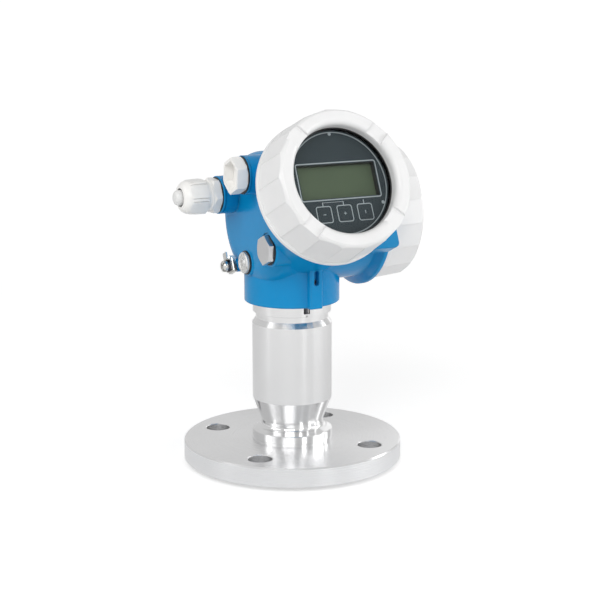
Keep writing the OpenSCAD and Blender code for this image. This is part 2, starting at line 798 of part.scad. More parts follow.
// Moulded hexagon plug with a hexagonal well in its face
module blind_plug() {
    hex_h = 8.4;
    base = entry_reach + entry_seal_t;
    color("gainsboro") on_entry(blind_at) difference() {
        union() {
            translate([0, 0, base]) intersection() {
                hexagon(gland_af, hex_h);
                turned([[0, 0], [gland_af / 2 + 0.5, 0], [gland_af / 2 + 2.2, 1.6],
                        [gland_af / 2 + 2.2, hex_h - 0.5], [gland_af / 2 + 0.9, hex_h],
                        [0, hex_h]]);
            }
            translate([0, 0, base - 12]) cylinder(d = entry_bore_d - 2 * seat_gap, h = 12);
        }
        translate([0, 0, base + 1.6]) hexagon(gland_af - 4.6, hex_h);
        translate([0, 0, base - 13]) cylinder(d = entry_bore_d - 5, h = 11);
    }
}

module gland_seal() {
    color("black") on_entry(gland_at)
        flat_seal(entry_boss_d / 2 - 0.5, entry_bore_d / 2, entry_reach, entry_seal_t);
}

// Gland levels, from the head's centre along the entry
gland_base = entry_reach + entry_seal_t;
gland_hex_h = 5.2;
gland_ring_h = 3;
gland_thread_h = 9;
gland_thread_r = 9;
gland_ring_top = gland_base + gland_hex_h + gland_ring_h;
nut_base = gland_ring_top + free_gap;
nut_hex_h = 11.5;
nut_h = 22.5;
insert_base = gland_thread_h - free_gap + seat_gap;

module gland_body() {
    color("gainsboro") on_entry(gland_at) difference() {
        union() {
            translate([0, 0, gland_base - 11])
                cylinder(d = entry_bore_d - 2 * seat_gap, h = 11);
            translate([0, 0, gland_base]) rotate([0, 0, -6]) hexagon(gland_af, gland_hex_h);
            translate([0, 0, gland_base + gland_hex_h])
                turned([[0, 0], [gland_af / 2 + 0.9, 0], [gland_af / 2 + 0.9, 1.1],
                        [gland_af / 2 - 0.1, 1.4], [gland_af / 2 - 0.1, gland_ring_h],
                        [0, gland_ring_h]]);
            translate([0, 0, gland_ring_top])
                cylinder(r = gland_thread_r, h = gland_thread_h);
        }
        translate([0, 0, gland_base - 12])
            cylinder(r = 6.4, h = 16 + gland_hex_h + gland_ring_h + gland_thread_h);
    }
}

// Domed cap nut: a hexagon that runs into a turned nose
module gland_cap_nut() {
    r = gland_af / cos(30) / 2;
    mouth_r = gland_mouth_d / 2;
    color("gainsboro") on_entry(gland_at) translate([0, 0, nut_base]) difference() {
        intersection() {
            rotate([0, 0, -24]) hexagon(gland_af + 0.8, nut_h);
            turned(concat([[0, 0], [r - 0.8, 0], [r, 0.8], [r, nut_hex_h]],
                          [for (t = [12 : 13 : 77]) [mouth_r + 1 + (r - mouth_r - 1) * cos(t),
                                                     nut_hex_h + (nut_h - nut_hex_h) * sin(t)]],
                          [[mouth_r + 1, nut_h], [0, nut_h]]));
        }
        translate([0, 0, -1])
            cylinder(r = gland_thread_r + run_gap, h = gland_thread_h + 2.6);
        translate([0, 0, 0]) cylinder(r = mouth_r + 1.2, h = nut_h - 4);
        translate([0, 0, 0]) cylinder(r = mouth_r, h = nut_h + 1);
    }
}

// Rubber insert that grips the cable or the blanking piece
module gland_insert() {
    outer = gland_mouth_d / 2 + 1.2 - free_gap;
    nose = gland_mouth_d / 2 - free_gap;
    color("black") on_entry(gland_at) translate([0, 0, nut_base]) difference() {
        turned([[0, insert_base], [outer, insert_base],
                [outer, nut_h - 4 - free_gap], [nose, nut_h - 4 - free_gap],
                [nose, nut_h - 0.8], [0, nut_h - 0.8]]);
        cylinder(r = nose - 0.75, h = nut_h + 1);
    }
}

module gland_blank() {
    r = gland_mouth_d / 2 - free_gap - 0.75 - seat_gap;
    color("white") on_entry(gland_at) translate([0, 0, nut_base])
        turned(concat([[0, insert_base + 1], [r, insert_base + 1], [r, nut_h + 1.4]],
                      arc([r - 3, nut_h + 1.4], 3, 15, 75, 4), [[0, nut_h + 4.8]]));
}

module steel_plug_seal() {
    color("black") on_entry(steel_plug_at)
        flat_seal(steel_plug_af / 2 + 1.2, steel_plug_thread_d / 2, steel_plug_reach, steel_seal_t);
}

module steel_plug() {
    head_h = 3.6;
    base = steel_plug_reach + steel_seal_t;
    color("silver") on_entry(steel_plug_at) union() {
        translate([0, 0, base]) intersection() {
            hexagon(steel_plug_af, head_h);
            corner_trim(steel_plug_af, head_h, 0.8);
        }
        translate([0, 0, base - 11])
            cylinder(d = steel_plug_thread_d - 2 * seat_gap, h = 11.5);
    }
}

module vent_seal() {
    color("black") on_entry(vent_at)
        flat_seal(vent_d / 2 + 0.9, vent_stem_d / 2, vent_reach, 1.2);
}

// Vent cap: a low disc with a slotted button and four air windows
module vent_cap() {
    base = vent_reach + 1.2;
    r = vent_d / 2;
    color("silver") on_entry(vent_at) difference() {
        turned([[0, base - 9], [vent_stem_d / 2 - seat_gap, base - 9],
                [vent_stem_d / 2 - seat_gap, base], [r, base], [r, base + 1.6],
                [r - 0.7, base + 2.3], [r - 2.2, base + 2.3], [r - 2.6, base + 1.7],
                [3.6, base + 1.7], [3.2, base + 2.8], [0, base + 2.8]]);
        translate([-0.6, -2.4, base + 2]) cube([1.2, 4.8, 2]);
        for (i = [0 : 3]) rotate([0, 0, 45 + i * 90])
            translate([r - 1.5, -1.2, base + 1.7]) cube([3, 2.4, 2]);
    }
}

clamp_t = 1.6;
clamp_base_t = 2.6;
washer_t = 2.2;

// Ground clamp: a square base plate and a folded wire clamp with an upturned tab
module ground_clamp() {
    half = 5.4;
    color("silver") on_entry(ground_at) translate([0, 0, ground_reach]) difference() {
        union() {
            translate([-half, -half, 0]) cube([2 * half, 2 * half, clamp_base_t]);
            translate([-half + 0.8, 0.8 - half, 0])
                cube([2 * half - 1.6, 2 * half + 0.6, clamp_base_t + clamp_t]);
            translate([-3, half - 0.4, clamp_base_t]) cube([6, 1.6, clamp_t + 1.8]);
            translate([-3, half - 0.4, clamp_base_t + clamp_t + 0.6]) cube([6, 5.2, 1.2]);
        }
        translate([0, 0, -1]) cylinder(d = ground_thread_d + 0.4, h = clamp_base_t + clamp_t + 2);
    }
}

// Split spring washer
module ground_washer() {
    base = ground_reach + clamp_base_t + clamp_t;
    color("dimgray") on_entry(ground_at) difference() {
        tube(4.6, ground_thread_d / 2 + 0.2, base, base + washer_t);
        rotate([0, 0, 35]) translate([0, -0.5, base - 1]) cube([6, 1, washer_t + 2]);
    }
}

// Pan-head screw with a crossed slot
module ground_screw() {
    base = ground_reach + clamp_base_t + clamp_t + washer_t;
    r = ground_thread_d / 2 - seat_gap;
    head_r = 4.4;
    color("silver") on_entry(ground_at) difference() {
        turned(concat([[0, base - 14], [r, base - 14], [r, base], [head_r, base],
                       [head_r, base + 1.6]],
                      arc([head_r - 1.6, base + 1.6], 1.6, 20, 90, 4), [[0, base + 3.2]]));
        for (turn = [20, 110]) rotate([0, 0, turn])
            translate([-5, -0.6, base + 1.8]) cube([10, 1.2, 3]);
    }
}

process_flange();
neck();
antenna_lens();
waveguide();
radar_module();
neck_seal();
stop_pin();
housing();
lock_screw();
display_cover();
window_glass();
window_gasket();
window_retainer();
display_cover_seal();
terminal_cover();
terminal_cover_seal();
electronics_module();
display_carrier();
display_board();
lcd_module();
lcd_frame();
display_panel();
minus_key();
plus_key();
enter_key();
key_switches();
terminal_carrier();
carrier_screws();
terminal_block();
terminal_screws();
blind_plug();
blind_plug_seal();
gland_seal();
gland_body();
gland_insert();
gland_blank();
gland_cap_nut();
steel_plug_seal();
steel_plug();
vent_seal();
vent_cap();
ground_clamp();
ground_washer();
ground_screw();
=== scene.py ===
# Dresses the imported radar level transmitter: materials, printed display marks, the outer shapes of
# the cable entries and the covers' grips, floor, light and camera. The frame is in metres; the marks
# and the entries are drawn in millimetres, from the head's centre.
import json
import math

import bpy
from mathutils import Matrix, Vector


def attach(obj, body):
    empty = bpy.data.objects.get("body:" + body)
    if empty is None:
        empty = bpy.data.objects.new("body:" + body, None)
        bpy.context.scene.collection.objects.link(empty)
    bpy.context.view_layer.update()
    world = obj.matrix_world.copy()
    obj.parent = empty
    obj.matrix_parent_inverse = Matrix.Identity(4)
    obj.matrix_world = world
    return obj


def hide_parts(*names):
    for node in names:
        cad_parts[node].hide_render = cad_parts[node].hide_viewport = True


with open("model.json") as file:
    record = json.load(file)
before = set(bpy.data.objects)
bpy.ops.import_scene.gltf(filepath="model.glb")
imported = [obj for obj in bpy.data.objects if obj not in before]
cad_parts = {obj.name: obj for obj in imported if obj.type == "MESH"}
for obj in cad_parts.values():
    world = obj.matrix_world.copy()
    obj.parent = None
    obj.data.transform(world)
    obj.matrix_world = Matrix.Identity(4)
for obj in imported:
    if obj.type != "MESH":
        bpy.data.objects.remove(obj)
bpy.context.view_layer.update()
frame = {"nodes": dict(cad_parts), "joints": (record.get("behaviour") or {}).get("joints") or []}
nodes = frame["nodes"]
joints = {j["name"]: j for j in frame["joints"]}

# ------------------------------------------------------------------ the object's own axes
HEAD = Vector((0, 0, joints["terminal_cover_turn"]["pos_m"][2]))
N = Vector(joints["display_cover_turn"]["axis"]).normalized()     # out of the window
M = Vector((1, 0, 0))                                             # to the terminal cover
U = N.cross(M).normalized()                                       # up the display


def at(m, u, n):
    """A point from the head's centre, in millimetres along M, U and N."""
    return HEAD + (M * m + U * u + N * n) * 0.001


def display_matrix(n_mm=0.0):
    """Local x, y, z are M, U, N, in millimetres from the head's centre."""
    r = Matrix((M, U, N)).transposed().to_4x4()
    return Matrix.Translation(at(0, 0, n_mm)) @ r @ Matrix.Scale(0.001, 4)


def reach(name, axis, origin=HEAD):
    """How far a node goes along an axis from an origin, in millimetres: lowest, highest."""
    d = [(v.co - origin).dot(axis) * 1000 for v in nodes[name].data.vertices]
    return min(d), max(d)


# ------------------------------------------------------------------ material helpers
def new_material(name):
    """A material with its node tree and its Principled shader."""
    mat = bpy.data.materials.new(name)
    mat.use_nodes = True
    nt = mat.node_tree
    bsdf = nt.nodes["Principled BSDF"]
    return mat, nt, bsdf


def link(nt, a, b):
    nt.links.new(a, b)


def place(nt):
    """Where a point lies, in the piece's own coordinates."""
    return nt.nodes.new("ShaderNodeTexCoord").outputs["Object"]


def noise(nt, vector, scale, detail=3.0, rough=0.5):
    """Soft noise from 0 to 1."""
    t = nt.nodes.new("ShaderNodeTexNoise")
    t.inputs["Scale"].default_value = scale
    t.inputs["Detail"].default_value = detail
    t.inputs["Roughness"].default_value = rough
    link(nt, vector, t.inputs["Vector"])
    return t.outputs["Fac"]


def ramp(nt, fac, stops):
    """Colour ramp from [(position, colour or grey), ...]."""
    r = nt.nodes.new("ShaderNodeValToRGB")
    e = r.color_ramp.elements
    while len(e) < len(stops):
        e.new(0.5)
    for k, (pos, c) in enumerate(stops):
        e[k].position = pos
        e[k].color = (c, c, c, 1) if isinstance(c, (int, float)) else (*c, 1)
    link(nt, fac, r.inputs["Fac"])
    return r.outputs["Color"]


def to_range(nt, fac, low, high, from_low=0.0, from_high=1.0):
    """A value carried from one range to another, and held at its ends."""
    r = nt.nodes.new("ShaderNodeMapRange")
    r.inputs["From Min"].default_value = from_low
    r.inputs["From Max"].default_value = from_high
    r.inputs["To Min"].default_value = low
    r.inputs["To Max"].default_value = high
    link(nt, fac, r.inputs["Value"])
    return r.outputs["Result"]


def math_node(nt, op, a, b):
    """Two values, each a number or an output, put together."""
    t = nt.nodes.new("ShaderNodeMath")
    t.operation = op
    for k, v in enumerate((a, b)):
        if isinstance(v, (int, float)):
            t.inputs[k].default_value = v
        else:
            link(nt, v, t.inputs[k])
    return t.outputs["Value"]


PEEL_DEPTH, RING_DEPTH, GRAIN_DEPTH = 0.00006, 0.00003, 0.00005    # metres
QUARTER_TURN = 0.25      # lays a metal's highlights across its grooves
RING_DARKEST = 0.93      # the darkest rings' share of a turned metal's colour


def bump(nt, bsdf, height, strength, distance):
    """A fine relief on a surface."""
    b = nt.nodes.new("ShaderNodeBump")
    b.inputs["Strength"].default_value = strength
    b.inputs["Distance"].default_value = distance
    link(nt, height, b.inputs["Height"])
    link(nt, b.outputs["Normal"], bsdf.inputs["Normal"])
    return b


def radius_from(nt, origin=(0, 0, 0), plane="xy"):
    """Distance from an axis through origin, in metres."""
    sub = nt.nodes.new("ShaderNodeVectorMath")
    sub.operation = "SUBTRACT"
    sub.inputs[1].default_value = origin
    link(nt, place(nt), sub.inputs[0])
    mul = nt.nodes.new("ShaderNodeVectorMath")
    mul.operation = "MULTIPLY"
    mul.inputs[1].default_value = {"xy": (1, 1, 0), "yz": (0, 1, 1)}[plane]
    link(nt, sub.outputs["Vector"], mul.inputs[0])
    ln = nt.nodes.new("ShaderNodeVectorMath")
    ln.operation = "LENGTH"
    link(nt, mul.outputs["Vector"], ln.inputs[0])
    return ln.outputs["Value"]


def clouded(nt, bsdf, colour, variation, scale):
    """Faint clouds of lighter and darker colour."""
    low = tuple(c * (1 - variation) for c in colour)
    high = tuple(min(1, c * (1 + variation)) for c in colour)
    link(nt, ramp(nt, noise(nt, place(nt), scale, 3), [(0.3, low), (0.7, high)]),
         bsdf.inputs["Base Color"])


def painted(name, colour, rough=0.3, coat=0.35, peel=0.12, variation=0.03, peel_scale=900,
            edge=0.0012, coat_rough=0.06, specular=0.5):
    """Powder coat: fine orange peel, faint colour variation, a clear skin, soft cast edges."""
    mat, nt, bsdf = new_material(name)
    clouded(nt, bsdf, colour, variation, 28)
    fine = noise(nt, place(nt), peel_scale, 2, 0.4)
    link(nt, to_range(nt, fine, rough - 0.03, rough + 0.04), bsdf.inputs["Roughness"])
    soft = nt.nodes.new("ShaderNodeBevel")
    soft.samples = 6
    soft.inputs["Radius"].default_value = edge
    b = bump(nt, bsdf, fine, peel, PEEL_DEPTH)
    link(nt, soft.outputs["Normal"], b.inputs["Normal"])
    link(nt, soft.outputs["Normal"], bsdf.inputs["Coat Normal"])
    bsdf.inputs["Specular IOR Level"].default_value = specular
    bsdf.inputs["Coat Weight"].default_value = coat
    bsdf.inputs["Coat Roughness"].default_value = coat_rough
    return mat


def turned(name, colour, rough, axis_origin=(0, 0, 0), plane="xy", line=0.00035, depth=0.2,
           spread=0.08, aniso=0.0):
    """Turned metal: fine rings round an axis, with a slow change of brightness."""
    mat, nt, bsdf = new_material(name)
    bsdf.inputs["Metallic"].default_value = 1.0
    if aniso:
        tangent = nt.nodes.new("ShaderNodeTangent")
        tangent.direction_type = "RADIAL"
        tangent.axis = "Z" if plane == "xy" else "X"
        link(nt, tangent.outputs["Tangent"], bsdf.inputs["Tangent"])
        bsdf.inputs["Anisotropic"].default_value = aniso
        bsdf.inputs["Anisotropic Rotation"].default_value = QUARTER_TURN
    r = radius_from(nt, axis_origin, plane)
    sep = nt.nodes.new("ShaderNodeSeparateXYZ")
    link(nt, place(nt), sep.inputs["Vector"])
    along = sep.outputs["Z"] if plane == "xy" else sep.outputs["X"]
    s = math_node(nt, "ADD", r, along)
    comb = nt.nodes.new("ShaderNodeCombineXYZ")
    link(nt, math_node(nt, "MULTIPLY", s, 1.0 / line), comb.inputs["X"])
    rings = noise(nt, comb.outputs["Vector"], 1.0, 4, 0.6)
    cloud = noise(nt, place(nt), 35, 3)
    low = tuple(c * RING_DARKEST for c in colour)
    link(nt, ramp(nt, math_node(nt, "ADD", math_node(nt, "MULTIPLY", rings, 0.5),
                                math_node(nt, "MULTIPLY", cloud, 0.5)),
                  [(0.3, low), (0.7, colour)]), bsdf.inputs["Base Color"])
    link(nt, to_range(nt, rings, rough - spread / 2, rough + spread / 2, 0.3, 0.7),
         bsdf.inputs["Roughness"])
    bump(nt, bsdf, rings, depth, RING_DEPTH)
    return mat


def moulded(name, colour, rough=0.42, grain=1400, depth=0.15, variation=0.03, subsurface=0.0,
            spread=0.11, specular=0.5):
    """Moulded plastic or rubber with a fine skin."""
    mat, nt, bsdf = new_material(name)
    clouded(nt, bsdf, colour, variation, 60)
    fine = noise(nt, place(nt), grain, 2, 0.5)
    link(nt, to_range(nt, fine, rough - spread / 2, rough + spread / 2),
         bsdf.inputs["Roughness"])
    if depth:
        bump(nt, bsdf, fine, depth, GRAIN_DEPTH)
    bsdf.inputs["Specular IOR Level"].default_value = specular
    bsdf.inputs["Subsurface Weight"].default_value = subsurface
    return mat


def dress(name, mat):
    """Gives a node of the frame its one material."""
    slots = nodes[name].data.materials
    slots.clear()
    slots.append(mat)


# ------------------------------------------------------------------ materials
# where the axes of the small turned pieces pass
STEEL_PLUG_AXIS, VENT_AXIS = tuple(at(0, -30, 23)), tuple(at(0, -29.5, -12))
GROUND_AXIS = tuple(at(0, -26.6, -30.5))
blue = painted("blue powder coat", (0.001, 0.262, 0.575), rough=0.17, coat=0.0, peel=0.04,
               edge=0.0016, specular=0.24)
white = painted("white powder coat", (0.84, 0.84, 0.84), rough=0.34, coat=0.2, peel=0.05,
                edge=0.0005)
neck_steel = turned("turned steel", (0.80, 0.80, 0.802), 0.15, line=0.00045, depth=0.08,
                    aniso=0.8, spread=0.06)
flange_steel = turned("faced steel", (0.84, 0.84, 0.845), 0.27, line=0.00030, depth=0.14,
                      aniso=0.6)
bright_steel = turned("bright steel", (0.66, 0.66, 0.665), 0.36, plane="yz",
                      axis_origin=STEEL_PLUG_AXIS, line=0.0002, depth=0.10)
cap_steel = turned("matt steel", (0.74, 0.74, 0.73), 0.55, plane="yz",
                   axis_origin=VENT_AXIS, line=0.0003, depth=0.06)
plated = turned("plated steel", (0.70, 0.70, 0.68), 0.24, plane="yz",
                axis_origin=GROUND_AXIS, line=0.0002, depth=0.12)
dark_steel = turned("blackened steel", (0.10, 0.10, 0.11), 0.35, line=0.0003, depth=0.15)
rubber = moulded("black rubber", (0.012, 0.012, 0.013), rough=0.45, depth=0.1)
ptfe = moulded("white ptfe", (0.83, 0.83, 0.81), rough=0.4, depth=0.05, subsurface=0.05)
grey_plastic = moulded("light grey polyamide", (0.92, 0.91, 0.885), rough=0.30, depth=0.08)
plug_white = moulded("white plug", (0.80, 0.80, 0.79), rough=0.35, depth=0.05)
black_plastic = moulded("black plastic", (0.016, 0.016, 0.017), rough=0.38, depth=0.12)
retainer_black = turned("black anodised ring", (0.03, 0.03, 0.032), 0.25, line=0.0003, depth=0.2)
terminal_grey = moulded("grey terminal body", (0.50, 0.50, 0.48), rough=0.4)
board_green = moulded("circuit board", (0.01, 0.06, 0.03), rough=0.35)
foil = moulded("slate foil", (0.037, 0.051, 0.061), rough=0.46, grain=120, depth=0.0,
               variation=0.05, spread=0.02, specular=0.2)
print_ink = moulded("pale print", (0.47, 0.51, 0.545), rough=0.45, grain=500, depth=0.0)


def lcd_glass():
    """The display, switched off."""
    mat, nt, bsdf = new_material("display glass")
    cloud = noise(nt, place(nt), 22, 2)
    link(nt, ramp(nt, cloud, [(0.25, (0.100, 0.131, 0.082)), (0.75, (0.115, 0.155, 0.092))]),
         bsdf.inputs["Base Color"])
    cells = noise(nt, place(nt), 90, 2)
    link(nt, to_range(nt, cells, 0.42, 0.44), bsdf.inputs["Roughness"])
    bsdf.inputs["Specular IOR Level"].default_value = 0.2
    return mat


GLASS_IOR = 1.6          # turned over where a ray leaves the glass, so both faces act alike
GLASS_TINT, GLASS_SHEEN = (0.97, 0.985, 0.98, 1), (0.2, 0.2, 0.2, 1)


def window_glass_material():
    """Clear glass with a sheen that grows as it is seen more from the side, on both its faces."""
    mat, nt, bsdf = new_material("window glass")
    out = nt.nodes["Material Output"]
    mix = nt.nodes.new("ShaderNodeMixShader")
    clear = nt.nodes.new("ShaderNodeBsdfTransparent")
    clear.inputs["Color"].default_value = GLASS_TINT
    gloss = nt.nodes.new("ShaderNodeBsdfGlossy")
    link(nt, to_range(nt, noise(nt, place(nt), 40, 2), 0.01, 0.03), gloss.inputs["Roughness"])
    gloss.inputs["Color"].default_value = GLASS_SHEEN
    fr = nt.nodes.new("ShaderNodeFresnel")
    side = nt.nodes.new("ShaderNodeNewGeometry")
    link(nt, to_range(nt, side.outputs["Backfacing"], GLASS_IOR, 1 / GLASS_IOR), fr.inputs["IOR"])
    link(nt, fr.outputs["Fac"], mix.inputs["Fac"])
    link(nt, clear.outputs["BSDF"], mix.inputs[1])
    link(nt, gloss.outputs["BSDF"], mix.inputs[2])
    nt.nodes.remove(bsdf)
    link(nt, mix.outputs["Shader"], out.inputs["Surface"])
    return mat


lcd_mat = lcd_glass()
glass_mat = window_glass_material()

DRESS = {
    "process_flange": flange_steel, "neck": neck_steel, "antenna_lens": ptfe,
    "waveguide": plated, "radar_module": black_plastic, "neck_seal": rubber,
    "stop_pin": dark_steel, "housing": blue, "lock_screw": dark_steel,
    "display_cover": white, "window_glass": glass_mat, "window_gasket": rubber,
    "window_retainer": retainer_black, "display_cover_seal": rubber,
    "terminal_cover": white, "terminal_cover_seal": rubber,
    "electronics_module": black_plastic, "display_carrier": black_plastic,
    "display_board": board_green, "lcd_module": lcd_mat, "lcd_frame": black_plastic,
    "display_panel": foil, "minus_key": foil, "plus_key": foil, "enter_key": foil,
    "key_switches": black_plastic, "terminal_carrier": black_plastic,
    "carrier_screws": plated, "terminal_block": terminal_grey, "terminal_screws": plated,
    "blind_plug": grey_plastic, "blind_plug_seal": rubber, "gland_seal": rubber,
    "gland_body": grey_plastic, "gland_insert": rubber, "gland_blank": plug_white,
    "gland_cap_nut": grey_plastic, "steel_plug_seal": rubber, "steel_plug": bright_steel,
    "vent_seal": rubber, "vent_cap": cap_steel, "ground_clamp": plated,
    "ground_washer": dark_steel, "ground_screw": plated,
}
for name in nodes:
    dress(name, DRESS[name])


# ------------------------------------------------------------------ mesh helpers
def mesh_object(name, verts, faces, mat, matrix=None):
    """A new mesh in the scene, its points carried into metres by the matrix."""
    me = bpy.data.meshes.new(name)
    me.from_pydata([tuple(v) for v in verts], [], faces)
    me.validate()
    me.update()
    o = bpy.data.objects.new(name, me)
    bpy.context.scene.collection.objects.link(o)
    me.materials.append(mat)
    if matrix is not None:
        me.transform(matrix)
    return o


INK = 0.04          # how far a print stands over its panel, in millimetres
SHARPEST = 0.35     # how far a line's corner may narrow before its width is held


def strip(points, width, closed=False):
    """A flat raised line of some width along points in a plane: verts, faces."""
    count = len(points)
    pts = [Vector((p[0], p[1])) for p in points]
    verts, faces = [], []
    for i, p in enumerate(pts):
        if closed:
            a, b = pts[i - 1], pts[(i + 1) % count]
        else:
            a, b = pts[max(0, i - 1)], pts[min(count - 1, i + 1)]
        d1 = (p - a).normalized() if (p - a).length > 1e-9 else (b - p).normalized()
        d2 = (b - p).normalized() if (b - p).length > 1e-9 else d1
        t = (d1 + d2).normalized()
        side = Vector((-t.y, t.x))
        spread = width / 2 / max(SHARPEST, side.dot(Vector((-d1.y, d1.x))))
        for k in (1, -1):
            for z in (0.0, INK):
                q = p + side * spread * k
                verts.append((q.x, q.y, z))
    last = count if closed else count - 1
    for i in range(last):
        a, b = 4 * i, 4 * ((i + 1) % count)
        faces += [(a + 1, a + 3, b + 3, b + 1), (a, b, b + 2, a + 2),
                  (a, a + 1, b + 1, b), (a + 2, b + 2, b + 3, a + 3)]
    if not closed:
        e = 4 * (count - 1)
        faces += [(0, 2, 3, 1), (e, e + 1, e + 3, e + 2)]
    return verts, faces


def on_circle(r, degrees):
    """A point on a circle round the display's axis."""
    a = math.radians(degrees)
    return r * math.cos(a), r * math.sin(a)


def dot(cx, cy, r, steps=20):
    """A flat raised disc: verts, faces."""
    verts = [(cx + r * math.cos(2 * math.pi * k / steps),
              cy + r * math.sin(2 * math.pi * k / steps), z)
             for z in (0.0, INK) for k in range(steps)]
    faces = [tuple(range(steps, 2 * steps)), tuple(range(steps - 1, -1, -1))]
    faces += [(k, (k + 1) % steps, steps + (k + 1) % steps, steps + k) for k in range(steps)]
    return verts, faces


def rounded_rect(cx, cy, w, h, r, steps=5):
    """The points of a rectangle with round corners."""
    pts = []
    for ax, ay, start in ((1, 1, 0), (-1, 1, 90), (-1, -1, 180), (1, -1, 270)):
        for k in range(steps + 1):
            t = math.radians(start + 90 * k / steps)
            pts.append((cx + ax * (w / 2 - r) + r * math.cos(t),
                        cy + ay * (h / 2 - r) + r * math.sin(t)))
    return pts


def joined(name, parts, mat, matrix):
    """Several (verts, faces) lists as one object."""
    verts, faces = [], []
    for v, f in parts:
        base = len(verts)
        verts += v
        faces += [tuple(i + base for i in g) for g in f]
    return mesh_object(name, verts, faces, mat, matrix)


def ride_piece(name, parts, mat, matrix, body, slot_name, *stands_for):
    """A drawn piece that moves with a body, and may stand for nodes of the frame."""
    o = joined(name, parts, mat, matrix)
    if stands_for:
        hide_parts(*stands_for)
    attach(o, body)


# ------------------------------------------------------------------ printed display marks
RING_R, RING_LINE, RING_STEP = 37.2, 0.75, 3
DOTS, DOT_R = ((36.0, 90), (35.6, -27)), 1.25          # each dot's distance and angle
CORNER_R, LCD_MARGIN, LCD_LINE = 1.6, 0.1, 0.8
KEY_W, KEY_H, KEY_LINE = 11.5, 11.7, 0.62
TICK_FROM, TICK_TO, LINK_AT, LINK_LINE = 5.9, 8.9, 8.6, 0.3
SYMBOLS = {
    "minus_key": [([(-1.1, 0), (1.1, 0)], 0.5)],
    "plus_key": [([(-1.1, 0), (1.1, 0)], 0.42), ([(0, -1.1), (0, 1.1)], 0.42)],
    "enter_key": [([(0, -1.2), (0, 1.2)], 0.5)],
}


def on_display(name):
    """A node's middle and size, along M and U."""
    (x0, x1), (y0, y1) = reach(name, M), reach(name, U)
    return (x0 + x1) / 2, (y0 + y1) / 2, x1 - x0, y1 - y0


lcd_x, lcd_y, lcd_w, lcd_h = on_display("lcd_module")
prints = [strip([on_circle(RING_R, a) for a in range(0, 360, RING_STEP)], RING_LINE, closed=True),
          strip(rounded_rect(lcd_x, lcd_y, lcd_w + LCD_MARGIN, lcd_h + LCD_MARGIN, CORNER_R),
                LCD_LINE, closed=True)]
prints += [dot(*on_circle(r, a), DOT_R) for r, a in DOTS]
key_centres = {key: on_display(key)[:2] for key in SYMBOLS}
for x, y in key_centres.values():
    prints.append(strip(rounded_rect(x, y, KEY_W, KEY_H, CORNER_R), KEY_LINE, closed=True))
    prints.append(strip([(x, y + TICK_FROM), (x, y + TICK_TO)], KEY_LINE))
prints.append(strip([(x, y + LINK_AT) for x, y in
                     (key_centres["minus_key"], key_centres["plus_key"])], LINK_LINE))
ride_piece("panel_marks", prints, print_ink, display_matrix(reach("display_panel", N)[1]),
           "head", "foil")

key_m = display_matrix(reach("plus_key", N)[1])
for key, strokes in SYMBOLS.items():
    x, y = key_centres[key]
    ride_piece(key.replace("_key", "_symbol"),
               [strip([(x + px, y + py) for px, py in points], width) for points, width in strokes],
               print_ink, key_m, key.replace("_key", "_button"), "key")


# ------------------------------------------------------------------ cable entries
# Heights run along the entries, out from the head's centre; each size is in millimetres.
ENTRY_STEPS = 288
GLAND_AT, BLIND_AT = (-15.5, 24.5), (29.0, 25.5)      # along N and U
HEX_TURN = math.radians(1.0)                          # how a flat of the gland leans from N
BOSS_R, BOSS_SKIN, BOSS_FROM, GLAND_BOSS, BLIND_BOSS = 14.12, 0.1, 38.2, 49.9, 47.85
GLAND_BORE, BLIND_BORE = 9.3, 13.56
GASKET_R, GASKET_T = 13.3, 0.75
BODY_BORE, SHANK_R, SHANK_FROM = 6.4, 9.2, 37.6
HEX_R, HEX_FLAT, HEX_FROM, HEX_TO = 13.9, 12.1, 50.7, 55.4
STEP_R, STEP_TO, SLEEVE_R, SLEEVE_TO = 12.2, 57.4, 11.3, 60.8
THREAD_R, THREAD_TO = 9.0, 65.8
NUT_R, NUT_AF, NUT_CORNER_R = 13.5, 24.3, 12.95
NUT_BASE, NUT_FLATS, NUT_END = 61.0, 68.0, 79.3
NUT_BORE, NUT_EDGE, MOUTH_R, MOUTH_DEPTH, MOUTH_CONE = 9.1, 0.6, 6.8, 3.6, 1.6
RIB_HALF, GROOVE_HALF = math.radians(5.6), math.radians(0.9)
GROOVE_DEPTH, GROOVE_RUN = 0.25, 6.0


def entry_matrix(n_mm, u_mm):
    """Local x, y, z are N, U and out of the entry, in millimetres."""
    r = Matrix((N, U, -M)).transposed().to_4x4()
    return Matrix.Translation(at(0, u_mm, n_mm)) @ r @ Matrix.Scale(0.001, 4)


def lathe(profile, limit=None, steps=ENTRY_STEPS):
    """A closed ring of [radius, height] points turned round z; limit(angle, r, z) trims it."""
    verts, faces = [], []
    count = len(profile)
    for k in range(steps):
        a = 2 * math.pi * k / steps
        for r, z in profile:
            q = limit(a, r, z) if limit else r
            verts.append((q * math.cos(a), q * math.sin(a), z))
    for k in range(steps):
        for i in range(count):
            a, b = k * count + i, k * count + (i + 1) % count
            c, d = ((k + 1) % steps) * count + i, ((k + 1) % steps) * count + (i + 1) % count
            faces.append((a, c, d, b))
    return verts, faces


def off_flat(angle):
    """How far an angle lies from the middle of the gland's nearest flat."""
    sixth = math.pi / 3
    return abs((angle - HEX_TURN + sixth / 2) % sixth - sixth / 2)


def nut_limit(angle, r, z):
    """Six flats with a rib on each corner; the dome cuts both."""
    if r <= MOUTH_R + 1.3:
        return r
    lean = off_flat(angle)
    past = lean - (math.pi / 6 - RIB_HALF)
    if abs(past) < GROOVE_HALF and z < NUT_FLATS + GROOVE_RUN:
        return min(r, NUT_AF / 2 - GROOVE_DEPTH)
    return min(r, NUT_R if past > 0 else min(NUT_AF / 2 / math.cos(lean), NUT_CORNER_R))


def body_limit(angle, r, z):
    """The gland body's hexagon; what is narrower stays round."""
    return min(r, HEX_FLAT / math.cos(off_flat(angle))) if r > STEP_R + 0.2 else r


